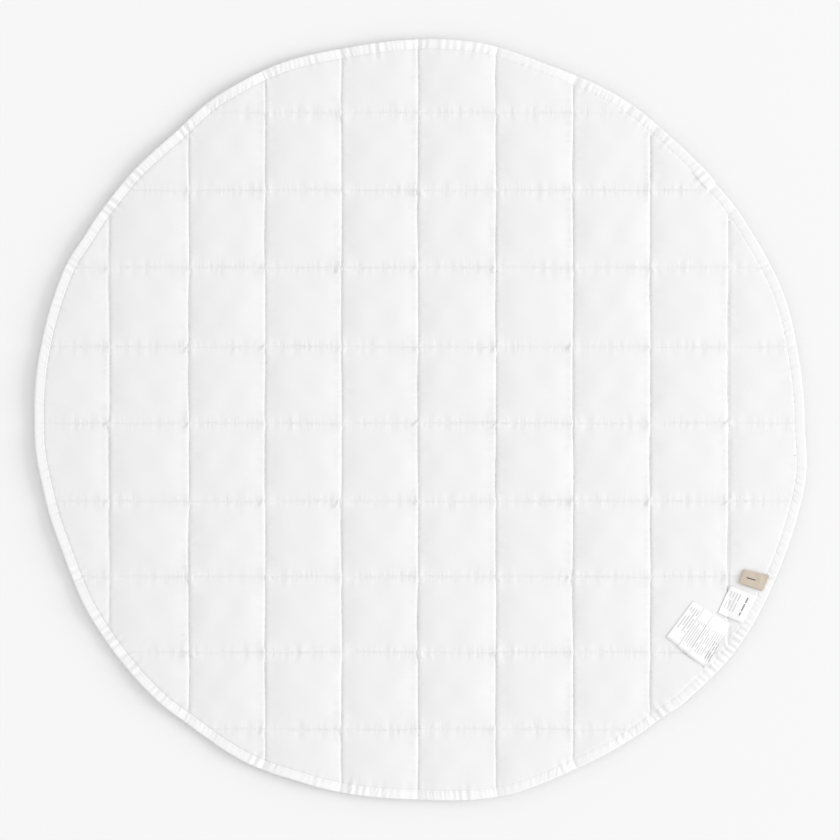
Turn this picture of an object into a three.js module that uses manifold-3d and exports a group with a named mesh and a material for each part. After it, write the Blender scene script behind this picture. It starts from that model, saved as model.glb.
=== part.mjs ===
// Round quilted baby play mat, lying flat. Millimetres, Z up, X right and Y up as seen from above.
import * as THREE from 'three';
import { mergeVertices } from 'three/addons/utils/BufferGeometryUtils.js';
import Module from 'manifold-3d';

const wasm = await Module();
wasm.setup();

// Clearance between sewn pieces
const gap = 0.3;

// Rim of the mat, seen from above, uneven where the seams draw it in
const edgeRows = [
  { bearing: 0, radius: 498 }, { bearing: 8, radius: 497 }, { bearing: 18, radius: 498.5 },
  { bearing: 32, radius: 493.5 }, { bearing: 40, radius: 490.5 }, { bearing: 48, radius: 490 },
  { bearing: 57, radius: 492.5 }, { bearing: 70, radius: 489.5 }, { bearing: 82, radius: 495.5 },
  { bearing: 100, radius: 492.5 }, { bearing: 113, radius: 497.5 }, { bearing: 122, radius: 496.5 },
  { bearing: 131, radius: 490.5 }, { bearing: 142, radius: 494 }, { bearing: 150, radius: 496.5 },
  { bearing: 157, radius: 502 }, { bearing: 169, radius: 501.5 }, { bearing: 183, radius: 500.5 },
  { bearing: 192, radius: 497 }, { bearing: 200, radius: 494.5 }, { bearing: 211, radius: 498 },
  { bearing: 227, radius: 498.5 }, { bearing: 233, radius: 496 }, { bearing: 243, radius: 498 },
  { bearing: 252, radius: 494 }, { bearing: 268, radius: 491.5 }, { bearing: 283, radius: 498.5 },
  { bearing: 294, radius: 494.5 }, { bearing: 308, radius: 496 }, { bearing: 314, radius: 501 },
  { bearing: 324, radius: 506 }, { bearing: 340, radius: 503.5 }, { bearing: 351, radius: 505 },
];
const edgeStep = 3;
const edgeStations = 360 / edgeStep;

// Quilting: nine upright seams at x and nine level seams at y
const seamRows = [
  { x: -403, y: -401 }, { x: -300, y: -301 }, { x: -201, y: -203 },
  { x: -102, y: -105 }, { x: -3, y: -4 }, { x: 98, y: 95 },
  { x: 198, y: 198 }, { x: 298, y: 298 }, { x: 399, y: 399 },
];
const halfSquare = 50;
const seamTop = 9.2;
const seamLift = 1.8;
const crown = 4.8;
const crownPower = 3.4;
const crownUnevenness = 0.07;
const topCuts = [0, 0.07, 0.2, 0.5, 0.8, 0.93];
const topOuterCuts = [7, 20, 38, 56, 74, 92, 125];
const underCuts = [0, 0.1, 0.9];
const underOuterCuts = [10, 125];
const blockDepth = 40;

// Binding: one tape folded over the rim of the pad
const tape = 1;
const bindingWidth = 12;
const bindingCrown = 0.5;
const rimFloor = tape + gap;
const rimTop = 9.4;
const rimPlump = 1.6;
const rimLift = 2.2;
const rimTuck = 20;
const taperEnd = 38;
const rimRiseEnd = 30;
const lapBearing = 39;
const lapStation = Math.round(lapBearing / edgeStep);
const lapDrop = 0.5;
const lapThickness = 0.8;

// Labels and tab, sewn in at the binding: two free corners, two bearings where they meet it
const labelStations = 10;
const labelRows = [
  {
    name: 'care_label', thickness: 1.4, leftX: 353, leftY: -234, rightX: 318, rightY: -281,
    leftBearing: -33.5, rightBearing: -40.8,
  },
  {
    name: 'size_label', thickness: 1, leftX: 402, leftY: -214, rightX: 385, rightY: -250,
    leftBearing: -27.4, rightBearing: -32.2,
  },
  {
    name: 'fold_tab', thickness: 2.6, leftX: 419, leftY: -193, rightX: 412.5, rightY: -210.5,
    leftBearing: -24, rightBearing: -26.5,
  },
];
const tabSlit = 0.8;
const tabFold = 1.4;

function radians(degrees) {
  return degrees * Math.PI / 180;
}

// Radius of the rim at a bearing, eased between the rows
function edgeRadius(bearing) {
  const turn = (bearing % 360 + 360) % 360;
  const after = edgeRows.findIndex((row) => row.bearing > turn);
  const end = after < 0 ? { bearing: 360, radius: edgeRows[0].radius } : edgeRows[after];
  const start = after < 0 ? edgeRows[edgeRows.length - 1] : edgeRows[after - 1];
  const part = THREE.MathUtils.smoothstep(turn, start.bearing, end.bearing);
  return THREE.MathUtils.lerp(start.radius, end.radius, part);
}

// Bearing of a station round the rim; the one before the tape's lapped end is moved up to it
function stationBearing(station) {
  const turn = (station % edgeStations + edgeStations) % edgeStations;
  return turn === lapStation - 1 ? lapBearing - lapDrop : turn * edgeStep;
}

function rimPoint(bearing, inward) {
  const radius = edgeRadius(bearing) - inward;
  return new THREE.Vector2(radius * Math.cos(radians(bearing)), radius * Math.sin(radians(bearing)));
}

function inwardFromRim(x, y) {
  return edgeRadius(THREE.MathUtils.radToDeg(Math.atan2(y, x))) - Math.hypot(x, y);
}

// Zero on a seam, one in the middle of a square
function plumpness(x, y) {
  const awayX = Math.min(...seamRows.map((row) => Math.abs(x - row.x)));
  const awayY = Math.min(...seamRows.map((row) => Math.abs(y - row.y)));
  const rise = (away) => 1 - (1 - Math.min(1, away / halfSquare)) ** crownPower;
  return rise(awayX) * rise(awayY);
}

function topHeight(x, y) {
  const column = seamRows.filter((row) => row.x < x).length;
  const level = seamRows.filter((row) => row.y < y).length;
  const uneven = 1 + crownUnevenness * Math.sin(2.3 * column + 1.7 * level);
  const inward = inwardFromRim(x, y);
  const taper = THREE.MathUtils.smoothstep(inward, bindingWidth, taperEnd);
  const base = THREE.MathUtils.lerp(rimTop, seamTop, THREE.MathUtils.smoothstep(inward, bindingWidth, rimRiseEnd));
  return base + (seamTop + crown * uneven - base) * plumpness(x, y) * taper;
}

function underHeight(x, y) {
  return plumpness(x, y) > 0 ? 0 : seamLift;
}

function rimPlumpness(bearing) {
  const point = rimPoint(bearing, bindingWidth);
  return plumpness(point.x, point.y);
}

function rimTopHeight(bearing) {
  return rimTop + rimPlump * rimPlumpness(bearing);
}

function rimFloorHeight(bearing) {
  return rimLift * (1 - rimPlumpness(bearing));
}

// Grid lines of one axis: shares of each square between two seams, millimetres outside them
function gridLines(seams, cuts, outerCuts) {
  const lines = outerCuts.map((away) => seams[0] - away).reverse();
  seams.forEach((seam, index) => {
    const next = seams[index + 1];
    if (next === undefined) lines.push(seam);
    else cuts.forEach((cut) => lines.push(THREE.MathUtils.lerp(seam, next, cut)));
  });
  return lines.concat(outerCuts.map((away) => seams[seams.length - 1] + away));
}

function closed(geometry) {
  geometry.deleteAttribute('normal');
  geometry.deleteAttribute('uv');
  return mergeVertices(geometry, 1e-4);
}

function toSolid(geometry) {
  const whole = closed(geometry);
  return new wasm.Manifold(new wasm.Mesh({
    numProp: 3,
    vertProperties: Float32Array.from(whole.attributes.position.array),
    triVerts: Uint32Array.from(whole.index.array),
  }));
}

function toGeometry(solid) {
  const mesh = solid.getMesh();
  const geometry = new THREE.BufferGeometry();
  geometry.setAttribute('position', new THREE.BufferAttribute(mesh.vertProperties, 3));
  geometry.setIndex(new THREE.BufferAttribute(mesh.triVerts, 1));
  return geometry;
}

// Block on the quilting's grid whose upper or lower face follows a height
function reliefBlock(cuts, outerCuts, height, upward) {
  const linesX = gridLines(seamRows.map((row) => row.x), cuts, outerCuts);
  const linesY = gridLines(seamRows.map((row) => row.y), cuts, outerCuts);
  const stepsX = linesX.length - 1;
  const stepsY = linesY.length - 1;
  const geometry = new THREE.BoxGeometry(stepsX, stepsY, 2, stepsX, stepsY, 1);
  const places = geometry.attributes.position;
  for (let i = 0; i < places.count; i += 1) {
    const x = linesX[Math.round(places.getX(i) + stepsX / 2)];
    const y = linesY[Math.round(places.getY(i) + stepsY / 2)];
    const shaped = (places.getZ(i) > 0) === upward;
    const far = upward ? -blockDepth : blockDepth;
    places.setXYZ(i, x, y, shaped ? height(x, y) : far);
  }
  return toSolid(geometry);
}

// Upright block inside the rim
function insideBlock(inward) {
  const points = Array.from({ length: edgeStations }, (_, k) => rimPoint(stationBearing(k), inward));
  const geometry = new THREE.ExtrudeGeometry(new THREE.Shape(points), {
    depth: 2 * blockDepth, bevelEnabled: false,
  });
  geometry.translate(0, 0, -blockDepth);
  return toSolid(geometry);
}

// Closed section swept round the rim. Each row: inward of the rim, height over its base
function rimRing(rows) {
  const loop = [...rows, rows[0]].reverse();
  const profile = loop.map((row, j) => new THREE.Vector2(halfSquare + j % rows.length, row.height));
  const geometry = new THREE.LatheGeometry(profile, edgeStations);
  const places = geometry.attributes.position;
  for (let i = 0; i < places.count; i += 1) {
    const station = Math.floor(i / loop.length);
    const row = loop[i % loop.length];
    const bearing = stationBearing(station);
    const point = rimPoint(bearing, row.inward);
    const base = row.base === 'top' ? rimTopHeight(bearing) : rimFloorHeight(bearing);
    const lapped = station % edgeStations === lapStation ? lapThickness : 0;
    places.setXYZ(i, point.x, point.y, base + row.height + lapped * (row.lap ?? 0));
  }
  return geometry;
}

// The pad: crowned face, flat squares underneath, cut to the rim, with a thin edge inside the tape
const rimRows = [
  { inward: rimFloor, base: 'floor', height: rimFloor + 0.8 },
  { inward: rimFloor + 1, base: 'floor', height: rimFloor },
  { inward: bindingWidth + 1, base: 'floor', height: rimFloor },
  { inward: rimTuck, base: 'floor', height: rimFloor + 1 },
  { inward: rimTuck, base: 'top', height: -2 },
  { inward: bindingWidth + 1, base: 'top', height: 0 },
  { inward: rimFloor + 1, base: 'top', height: 0 },
  { inward: rimFloor, base: 'top', height: -0.8 },
];
const padSolid = reliefBlock(topCuts, topOuterCuts, topHeight, true)
  .intersect(reliefBlock(underCuts, underOuterCuts, underHeight, false))
  .intersect(insideBlock(bindingWidth + gap + 0.1))
  .add(toSolid(rimRing(rimRows)));

// The binding: floor leg, rounded rim, face leg, and the slot that holds the pad
const bindingRows = [
  { inward: bindingWidth, base: 'floor', height: 0 },
  { inward: bindingWidth, base: 'floor', height: tape },
  { inward: rimFloor + 0.8, base: 'floor', height: tape },
  { inward: tape, base: 'floor', height: tape + 1 },
  { inward: tape, base: 'top', height: -0.9 },
  { inward: rimFloor + 0.8, base: 'top', height: gap },
  { inward: bindingWidth, base: 'top', height: gap },
  { inward: bindingWidth, base: 'top', height: gap + tape, lap: 1 },
  { inward: 0.55 * bindingWidth, base: 'top', height: gap + tape + bindingCrown, lap: 1 },
  { inward: tape, base: 'top', height: 0.4, lap: 1 },
  { inward: 0, base: 'floor', height: tape + 1.6 },
  { inward: tape, base: 'floor', height: 0.4 },
  { inward: 0.3 * bindingWidth, base: 'floor', height: 0 },
];
const bindingGeometry = closed(rimRing(bindingRows));

// Highest point of the pad across a label at one station
function restHeight(label, part) {
  let highest = 0;
  for (let across = 0; across <= 1; across += 0.1) {
    const { x, y } = labelPoint(label, part, across);
    const inward = inwardFromRim(x, y);
    const bearing = THREE.MathUtils.radToDeg(Math.atan2(y, x));
    const rim = inward < rimTuck ? rimTopHeight(bearing) : 0;
    highest = Math.max(highest, topHeight(x, y), rim);
  }
  return highest + 2 * gap;
}

function labelPoint(label, part, across) {
  const sewnIn = bindingWidth + gap + 0.1;
  const freeLeft = new THREE.Vector2(label.leftX, label.leftY);
  const freeRight = new THREE.Vector2(label.rightX, label.rightY);
  const left = freeLeft.lerp(rimPoint(label.leftBearing, sewnIn), part);
  const right = freeRight.lerp(rimPoint(label.rightBearing, sewnIn), part);
  return left.lerp(right, across);
}

// Heights along a label that lies on the pad and bridges its hollows
function labelHeights(label) {
  const rests = Array.from({ length: labelStations + 1 }, (_, k) => restHeight(label, k / labelStations));
  return rests.map((rest, k) => {
    let height = rest;
    for (let before = 0; before < k; before += 1) {
      for (let after = k + 1; after <= labelStations; after += 1) {
        const part = (k - before) / (after - before);
        height = Math.max(height, THREE.MathUtils.lerp(rests[before], rests[after], part));
      }
    }
    return height;
  });
}

// Slab along a label, from one height over its rest to another
function labelSlab(label, lower, upper, firstPart) {
  const heights = labelHeights(label);
  const geometry = new THREE.BoxGeometry(labelStations, 1, 1, labelStations, 1, 1);
  const places = geometry.attributes.position;
  for (let i = 0; i < places.count; i += 1) {
    const station = Math.round(places.getX(i) + labelStations / 2);
    const part = Math.max(station / labelStations, firstPart);
    const reach = part * labelStations;
    const below = Math.floor(reach);
    const next = Math.min(below + 1, labelStations);
    const rest = THREE.MathUtils.lerp(heights[below], heights[next], reach - below);
    const point = labelPoint(label, part, places.getY(i) > 0 ? 0 : 1);
    places.setXYZ(i, point.x, point.y, rest + (places.getZ(i) > 0 ? upper : lower));
  }
  return geometry;
}

const materials = {
  cloth: new THREE.MeshStandardMaterial({ color: 0xf3f3f2, roughness: 0.9 }),
  label: new THREE.MeshStandardMaterial({ color: 0xfafafa, roughness: 0.8 }),
  tan: new THREE.MeshStandardMaterial({ color: 0xc6a888, roughness: 0.9 }),
};
const group = new THREE.Group();
group.name = 'baby_play_mat';

function addPiece(name, geometry, material) {
  const mesh = new THREE.Mesh(geometry, material);
  mesh.name = name;
  group.add(mesh);
}

addPiece('quilted_pad', toGeometry(padSolid), materials.cloth);
addPiece('edge_binding', bindingGeometry, materials.cloth);
for (const label of labelRows) {
  const slab = labelSlab(label, 0, label.thickness, 0);
  if (label.name === 'fold_tab') {
    const foldLength = tabFold / (label.thickness * labelStations);
    const slit = labelSlab(label, (label.thickness - tabSlit) / 2, (label.thickness + tabSlit) / 2, foldLength);
    addPiece(label.name, toGeometry(toSolid(slab).subtract(toSolid(slit))), materials.tan);
  } else {
    addPiece(label.name, closed(slab), materials.label);
  }
}

// Middle of the mat over the origin, lowest point on the ground
const box = new THREE.Box3().setFromObject(group);
const middle = box.getCenter(new THREE.Vector3());
for (const mesh of group.children) {
  mesh.geometry.translate(-middle.x, -middle.y, -box.min.z);
}

export default group;
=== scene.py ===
"""Round quilted baby play mat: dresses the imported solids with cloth, tape, labels and stitching."""

import math

import bmesh
import bpy
import numpy as np
from bpy.props import FloatProperty, FloatVectorProperty, IntProperty, PointerProperty
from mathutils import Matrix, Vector


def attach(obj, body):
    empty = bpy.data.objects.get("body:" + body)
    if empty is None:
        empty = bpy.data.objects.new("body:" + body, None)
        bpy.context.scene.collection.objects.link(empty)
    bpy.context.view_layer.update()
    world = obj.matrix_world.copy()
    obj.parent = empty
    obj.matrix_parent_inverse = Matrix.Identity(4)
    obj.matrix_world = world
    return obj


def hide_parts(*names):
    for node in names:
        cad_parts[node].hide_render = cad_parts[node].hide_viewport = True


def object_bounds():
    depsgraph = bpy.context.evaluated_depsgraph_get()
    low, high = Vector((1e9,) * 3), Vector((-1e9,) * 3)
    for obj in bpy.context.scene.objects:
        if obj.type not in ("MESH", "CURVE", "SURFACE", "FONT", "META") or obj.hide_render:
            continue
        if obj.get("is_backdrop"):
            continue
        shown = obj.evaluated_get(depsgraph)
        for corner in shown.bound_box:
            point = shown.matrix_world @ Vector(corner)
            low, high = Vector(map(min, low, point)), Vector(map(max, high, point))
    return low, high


bl_info = {
    "name": "Quilted play mat",
    "version": (1, 0, 0),
    "blender": (4, 5, 0),
    "location": "View3D > Sidebar > Play Mat",
    "description": "Builds a round quilted baby play mat with its tape, labels and studio",
    "category": "Add Mesh",
}

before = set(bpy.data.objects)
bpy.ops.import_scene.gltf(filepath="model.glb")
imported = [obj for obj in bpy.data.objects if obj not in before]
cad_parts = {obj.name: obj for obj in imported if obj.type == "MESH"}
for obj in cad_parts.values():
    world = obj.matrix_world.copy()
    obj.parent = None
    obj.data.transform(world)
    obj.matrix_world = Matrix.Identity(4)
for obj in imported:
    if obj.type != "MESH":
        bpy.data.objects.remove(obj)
CAD_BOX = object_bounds()

MM = 0.001
BODY = "root"

# Rim of the mat from above: bearing in degrees and radius in millimetres
EDGE_ROWS = (
    {"bearing": 0, "radius": 498}, {"bearing": 8, "radius": 497}, {"bearing": 18, "radius": 498.5},
    {"bearing": 32, "radius": 493.5}, {"bearing": 40, "radius": 490.5}, {"bearing": 48, "radius": 490},
    {"bearing": 57, "radius": 492.5}, {"bearing": 70, "radius": 489.5}, {"bearing": 82, "radius": 495.5},
    {"bearing": 100, "radius": 492.5}, {"bearing": 113, "radius": 497.5}, {"bearing": 122, "radius": 496.5},
    {"bearing": 131, "radius": 490.5}, {"bearing": 142, "radius": 494}, {"bearing": 150, "radius": 496.5},
    {"bearing": 157, "radius": 502}, {"bearing": 169, "radius": 501.5}, {"bearing": 183, "radius": 500.5},
    {"bearing": 192, "radius": 497}, {"bearing": 200, "radius": 494.5}, {"bearing": 211, "radius": 498},
    {"bearing": 227, "radius": 498.5}, {"bearing": 233, "radius": 496}, {"bearing": 243, "radius": 498},
    {"bearing": 252, "radius": 494}, {"bearing": 268, "radius": 491.5}, {"bearing": 283, "radius": 498.5},
    {"bearing": 294, "radius": 494.5}, {"bearing": 308, "radius": 496}, {"bearing": 314, "radius": 501},
    {"bearing": 324, "radius": 506}, {"bearing": 340, "radius": 503.5}, {"bearing": 351, "radius": 505},
    {"bearing": 360, "radius": 498},
)

# Upright seams at x and level seams at y, in millimetres
SEAM_ROWS = (
    {"x": -403, "y": -401}, {"x": -300, "y": -301}, {"x": -201, "y": -203},
    {"x": -102, "y": -105}, {"x": -3, "y": -4}, {"x": 98, "y": 95},
    {"x": 198, "y": 198}, {"x": 298, "y": 298}, {"x": 399, "y": 399},
)
SEAMS_X = np.array([row["x"] for row in SEAM_ROWS], float)
SEAMS_Y = np.array([row["y"] for row in SEAM_ROWS], float)
HALF_SQUARE = 50
CROWN_POWER = 3.4

# Millimetres inside the rim: inner edge of the tape, end of the stitched face, edges of both grids
TAPE_EDGE = 12.7
FACE_EDGE = 14
FACE_GRID_EDGE = 14.2
BACK_GRID_EDGE = 30

# Radii in millimetres that turn a bearing into a distance along the tape, the face beside it and its stitches
TAPE_RADIUS = 496
FACE_RADIUS = 490
STITCH_RADIUS = 486

# Slow sideways waves of the seams: height and reach in millimetres, and the phase added from seam to seam
UPRIGHT_WAVES = (
    {"height": 0.7, "reach": 43, "step": 2.7},
    {"height": 0.35, "reach": 17, "step": 1.9},
)
LEVEL_WAVES = (
    {"height": 0.4, "reach": 51, "step": 3.3},
    {"height": 0.35, "reach": 19, "step": 1.3},
)

# How far the tape's pull on the face and the thread's pull on the cloth reach, in millimetres
CROWN_PULL_REACH = 45
RIM_DROP_REACH = 40
THREAD_REACH = 0.8

# Folds across the seams: wavelengths along the seam, and middle and spread of the fold beside it
FOLD_ROWS = (
    {"seed": 0, "waves": (8.9, 10.7, 13.9), "middle": 3, "spread": 5},
    {"seed": 40, "waves": (17, 23, 31), "middle": 5, "spread": 7},
)

# Reach of the folds beside a seam and beside a crossing, and the radius of the last crossings
FOLD_REACH = 24
TUCK_REACH = 16
CROSSINGS_WITHIN = 478

# The solids are centred on their box, which lies this far from the rows' own middle
MIDDLE = Vector((-0.1, 0.8, 0))

# Labels and tab: two free corners, the bearings of their sewn ends and how far inside the rim these lie
LABELS = {
    "care_label": {"left": (353, -234), "right": (318, -281), "bearings": (-33.1, -40.8), "sewn": (24, 15)},
    "size_label": {"left": (402, -214), "right": (385, -250), "bearings": (-27.4, -32.2), "sewn": (9, 9)},
    "fold_tab": {"left": (419, -193), "right": (412.5, -210.5), "bearings": (-24, -26.5), "sewn": (9, 9)},
}


class PadSizes(bpy.types.PropertyGroup):
    """Sizes of the quilted pad."""

    seam_top: FloatProperty(
        name="Seam height", description="Height of the face at a seam", default=9.2 * MM, unit="LENGTH")
    shoulder: FloatProperty(
        name="Shoulder", description="Quick rise of the cloth beside a seam", default=0.7 * MM, unit="LENGTH")
    shoulder_reach: FloatProperty(
        name="Shoulder reach", description="How far from the seam the quick rise goes",
        default=1.8 * MM, unit="LENGTH")
    crown: FloatProperty(
        name="Crown", description="Slow rise to the middle of a square", default=4.4 * MM, unit="LENGTH")
    groove: FloatProperty(
        name="Groove", description="Depth that the thread pulls in", default=0.27 * MM, unit="LENGTH")
    pucker: FloatProperty(
        name="Pucker", description="Height of the small folds across the seams",
        default=0.58 * MM, unit="LENGTH")
    tuck: FloatProperty(
        name="Tuck", description="Height of the small folds where seams cross",
        default=1.6 * MM, unit="LENGTH")
    slack: FloatProperty(
        name="Slack", description="Height of the soft waves over the squares",
        default=0.7 * MM, unit="LENGTH")
    kink: FloatProperty(
        name="Kink", description="How far the upright seams jump sideways where seams cross",
        default=1.7 * MM, unit="LENGTH")
    rim_drop: FloatProperty(
        name="Rim drop", description="How far the tape presses the face down",
        default=0.9 * MM, unit="LENGTH")
    steps: IntProperty(
        name="Steps", description="Grid steps from a seam to the middle of a square", default=17)


class BindingSizes(bpy.types.PropertyGroup):
    """Sizes of the tape round the rim."""

    lift: FloatProperty(
        name="Lift", description="How far the tape draws the back off the floor at most",
        default=1.8 * MM, unit="LENGTH")
    gather: FloatProperty(
        name="Gather", description="Height of the gathers across the tape", default=0.5 * MM, unit="LENGTH")
    pitch: FloatProperty(
        name="Gather pitch", description="Usual length of one gather", default=6.5 * MM, unit="LENGTH")
    stations: IntProperty(
        name="Stations", description="Sections round the rim", default=3000)


class ThreadSizes(bpy.types.PropertyGroup):
    """Sizes of the stitches."""

    length: FloatProperty(
        name="Stitch", description="Length of one stitch", default=2.6 * MM, unit="LENGTH")
    pitch: FloatProperty(
        name="Stitch pitch", description="From one stitch to the next", default=3.3 * MM, unit="LENGTH")
    width: FloatProperty(
        name="Thread", description="Width of the thread", default=0.45 * MM, unit="LENGTH")


class MatColours(bpy.types.PropertyGroup):
    """Colours of the cloths."""

    cloth: FloatVectorProperty(
        name="Cloth", description="Woven face of the pad", subtype="COLOR", size=3,
        default=(0.753, 0.753, 0.753), min=0, max=1)
    tape: FloatVectorProperty(
        name="Tape", description="Binding tape", subtype="COLOR", size=3,
        default=(0.795, 0.795, 0.795), min=0, max=1)
    label: FloatVectorProperty(
        name="Label", description="White printed labels", subtype="COLOR", size=3,
        default=(0.83, 0.83, 0.83), min=0, max=1)
    print_grey: FloatVectorProperty(
        name="Print", description="Rows printed on the labels", subtype="COLOR", size=3,
        default=(0.18, 0.18, 0.19), min=0, max=1)
    tan: FloatVectorProperty(
        name="Tan", description="Folded tab", subtype="COLOR", size=3,
        default=(0.565, 0.48, 0.395), min=0, max=1)


class StageSettings(bpy.types.PropertyGroup):
    """Floor, light and camera."""

    floor: FloatVectorProperty(
        name="Floor", description="Floor colour", subtype="COLOR", size=3,
        default=(0.785, 0.785, 0.785), min=0, max=1)
    view_width: FloatProperty(
        name="View width", description="Width of floor that the picture spans",
        default=1090.2 * MM, unit="LENGTH")
    lens: FloatProperty(name="Lens", description="Focal length in millimetres", default=250)
    side: FloatProperty(
        name="Side light", description="Power of the far softbox", default=4900, unit="POWER")
    sky: FloatProperty(name="Sky", description="Strength of the even light", default=0.98)


def edge_radius(bearing):
    """Radius of the rim in millimetres at bearings in degrees."""
    turn = np.mod(bearing, 360)
    bearings = np.array([row["bearing"] for row in EDGE_ROWS], float)
    radii = np.array([row["radius"] for row in EDGE_ROWS], float)
    after = np.clip(np.searchsorted(bearings, turn, side="right"), 1, len(bearings) - 1)
    part = (turn - bearings[after - 1]) / (bearings[after] - bearings[after - 1])
    eased = part * part * (3 - 2 * part)
    return radii[after - 1] + (radii[after] - radii[after - 1]) * eased


def inward(x, y):
    """Distance inside the rim in millimetres."""
    return edge_radius(np.degrees(np.arctan2(y, x))) - np.hypot(x, y)


def at_bearing(radius, bearing):
    """X and Y of places at radii and at bearings in degrees."""
    turn = np.radians(bearing)
    return radius * np.cos(turn), radius * np.sin(turn)


def smooth_part(value, low, high):
    """Zero up to low and one from high, with an even rise between."""
    part = np.clip((value - low) / (high - low), 0, 1)
    return part * part * (3 - 2 * part)


def bell(value, middle, spread):
    """One at the middle, fading to nothing within a few spreads on both sides."""
    return np.exp(-((value - middle) / spread) ** 2)


def wander(along, seed, wavelengths):
    """Sum of slow and quick waves along a line, between about minus one and one."""
    total = np.zeros_like(along, float)
    for index, wavelength in enumerate(wavelengths):
        phase = 1.7 * seed + 2.9 * index + np.sin(5.3 * seed + index)
        total = total + np.sin(2 * np.pi * along / wavelength + phase)
    return total / len(wavelengths)


def seam_distances(x, y):
    """Distances in millimetres from every upright and every level seam, a column for each seam."""
    return np.abs(x[:, None] - SEAMS_X[None, :]), np.abs(y[:, None] - SEAMS_Y[None, :])


def seam_waves(along, seam, rows):
    """Sideways shift of a seam along its length, in millimetres."""
    return sum(row["height"] * np.sin(along / row["reach"] + row["step"] * seam) for row in rows)


def warp(x, y):
    """Moves points with the seams, which run unevenly and jump sideways where they cross."""
    kink = bpy.context.scene.play_mat_pad.kink / MM
    from_x, from_y = seam_distances(x, y)
    column = from_x.argmin(axis=1)
    level = from_y.argmin(axis=1)
    fade_x = np.clip(1 - from_x.min(axis=1) / HALF_SQUARE, 0, 1)
    fade_y = np.clip(1 - from_y.min(axis=1) / HALF_SQUARE, 0, 1)
    past = y - SEAMS_Y[level]
    jump = np.sin(7.9 * column + 4.3 * level) * bell(past, 0, 4)
    jump = jump + 0.8 * np.cos(5.1 * column + 2.3 * level) * bell(past, -6, 5)
    shift_x = kink * jump + seam_waves(y, column, UPRIGHT_WAVES)
    shift_y = seam_waves(x, level, LEVEL_WAVES)
    inside = smooth_part(inward(x, y), FACE_EDGE + 1, FACE_EDGE + 20)
    return x + shift_x * fade_x * inside, y + shift_y * fade_y * inside


def pad_height(x, y):
    """Height of the pad's face in metres over points in millimetres."""
    sizes = bpy.context.scene.play_mat_pad
    from_x, from_y = seam_distances(x, y)
    away_x = from_x.min(axis=1)
    away_y = from_y.min(axis=1)
    reach = sizes.shoulder_reach / MM
    quick = (1 - np.exp(-away_x / reach)) * (1 - 0.5 * np.exp(-away_y / reach))
    column = np.searchsorted(SEAMS_X, x)
    level = np.searchsorted(SEAMS_Y, y)
    uneven = 1 + 0.1 * np.sin(2.3 * column + 1.7 * level)
    plump = plump_part(x, y)
    edge = inward(x, y)
    past_tape = np.maximum(edge - TAPE_EDGE, 0)
    inner = 1 - 0.3 * np.exp(-past_tape / CROWN_PULL_REACH)
    thread = bell(away_x, 0, THREAD_REACH) + 0.6 * bell(away_y, 0, THREAD_REACH)
    height = inner * uneven * (sizes.shoulder * quick + sizes.crown * plump)
    height = height + sizes.slack * plump * slack_waves(x, y)
    height = height - sizes.rim_drop * np.exp(-past_tape / RIM_DROP_REACH)
    height = height - sizes.groove * np.minimum(thread, 1) * smooth_part(edge, 10, 18)
    return sizes.seam_top + height + fold_height(x, y, from_x, from_y, edge)


def slack_waves(x, y):
    """Soft uneven waves of loose cloth, between about minus one and one."""
    first = np.sin((x + 0.6 * y) / 9.7 + 1.3 * np.sin(y / 31)) * np.sin(y / 23 + x / 57)
    second = np.sin((x - 0.9 * y) / 15.1 + 1.7 * np.sin(x / 41)) * np.sin(x / 37 - y / 29)
    return 0.4 * first + 0.6 * second


def back_lift(bearing, edge):
    """How far the back stands off the floor near the rim, in millimetres."""
    return rim_lift(bearing) * (1 - smooth_part(edge, 4, 45))


def fold_height(x, y, from_x, from_y, edge):
    """Small folds across the seams, round their crossings and inside the tape, in metres."""
    sizes = bpy.context.scene.play_mat_pad
    height = np.zeros_like(x)
    for along, across, size in ((y, from_x, 0.9), (x, from_y, 1)):
        for index in range(len(SEAM_ROWS)):
            near = across[:, index] < FOLD_REACH
            away = across[near, index]
            place = along[near]
            seed = index + 0.5 * size
            folds = sum(
                wander(place, seed + row["seed"], row["waves"]) * bell(away, row["middle"], row["spread"])
                for row in FOLD_ROWS)
            patches = np.clip(0.65 + 0.8 * wander(place, seed + 80, (90, 140, 61)), 0.25, 1.25)
            height[near] += size * sizes.pucker * patches * folds * smooth_part(away, 0, 1.6)
    round_rim = np.arctan2(y, x) * FACE_RADIUS
    rim = wander(round_rim, 7, (9.1, 11.3, 15.7)) * bell(edge, 15, 6)
    patches = np.clip(0.5 + 1.2 * wander(round_rim, 9, (70, 130, 410)), 0.15, 1.5)
    bearing = np.degrees(np.arctan2(y, x))
    beside_labels = bell(bearing, -37, 5) * bell(edge, 16, 9)
    ruffle = beside_labels * np.sin(2 * np.pi * (round_rim - 0.8 * edge) / 8.3)
    height += 1.6 * sizes.pucker * rim * patches + 1.6 * sizes.pucker * ruffle
    return height + tuck_height(x, y)


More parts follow.
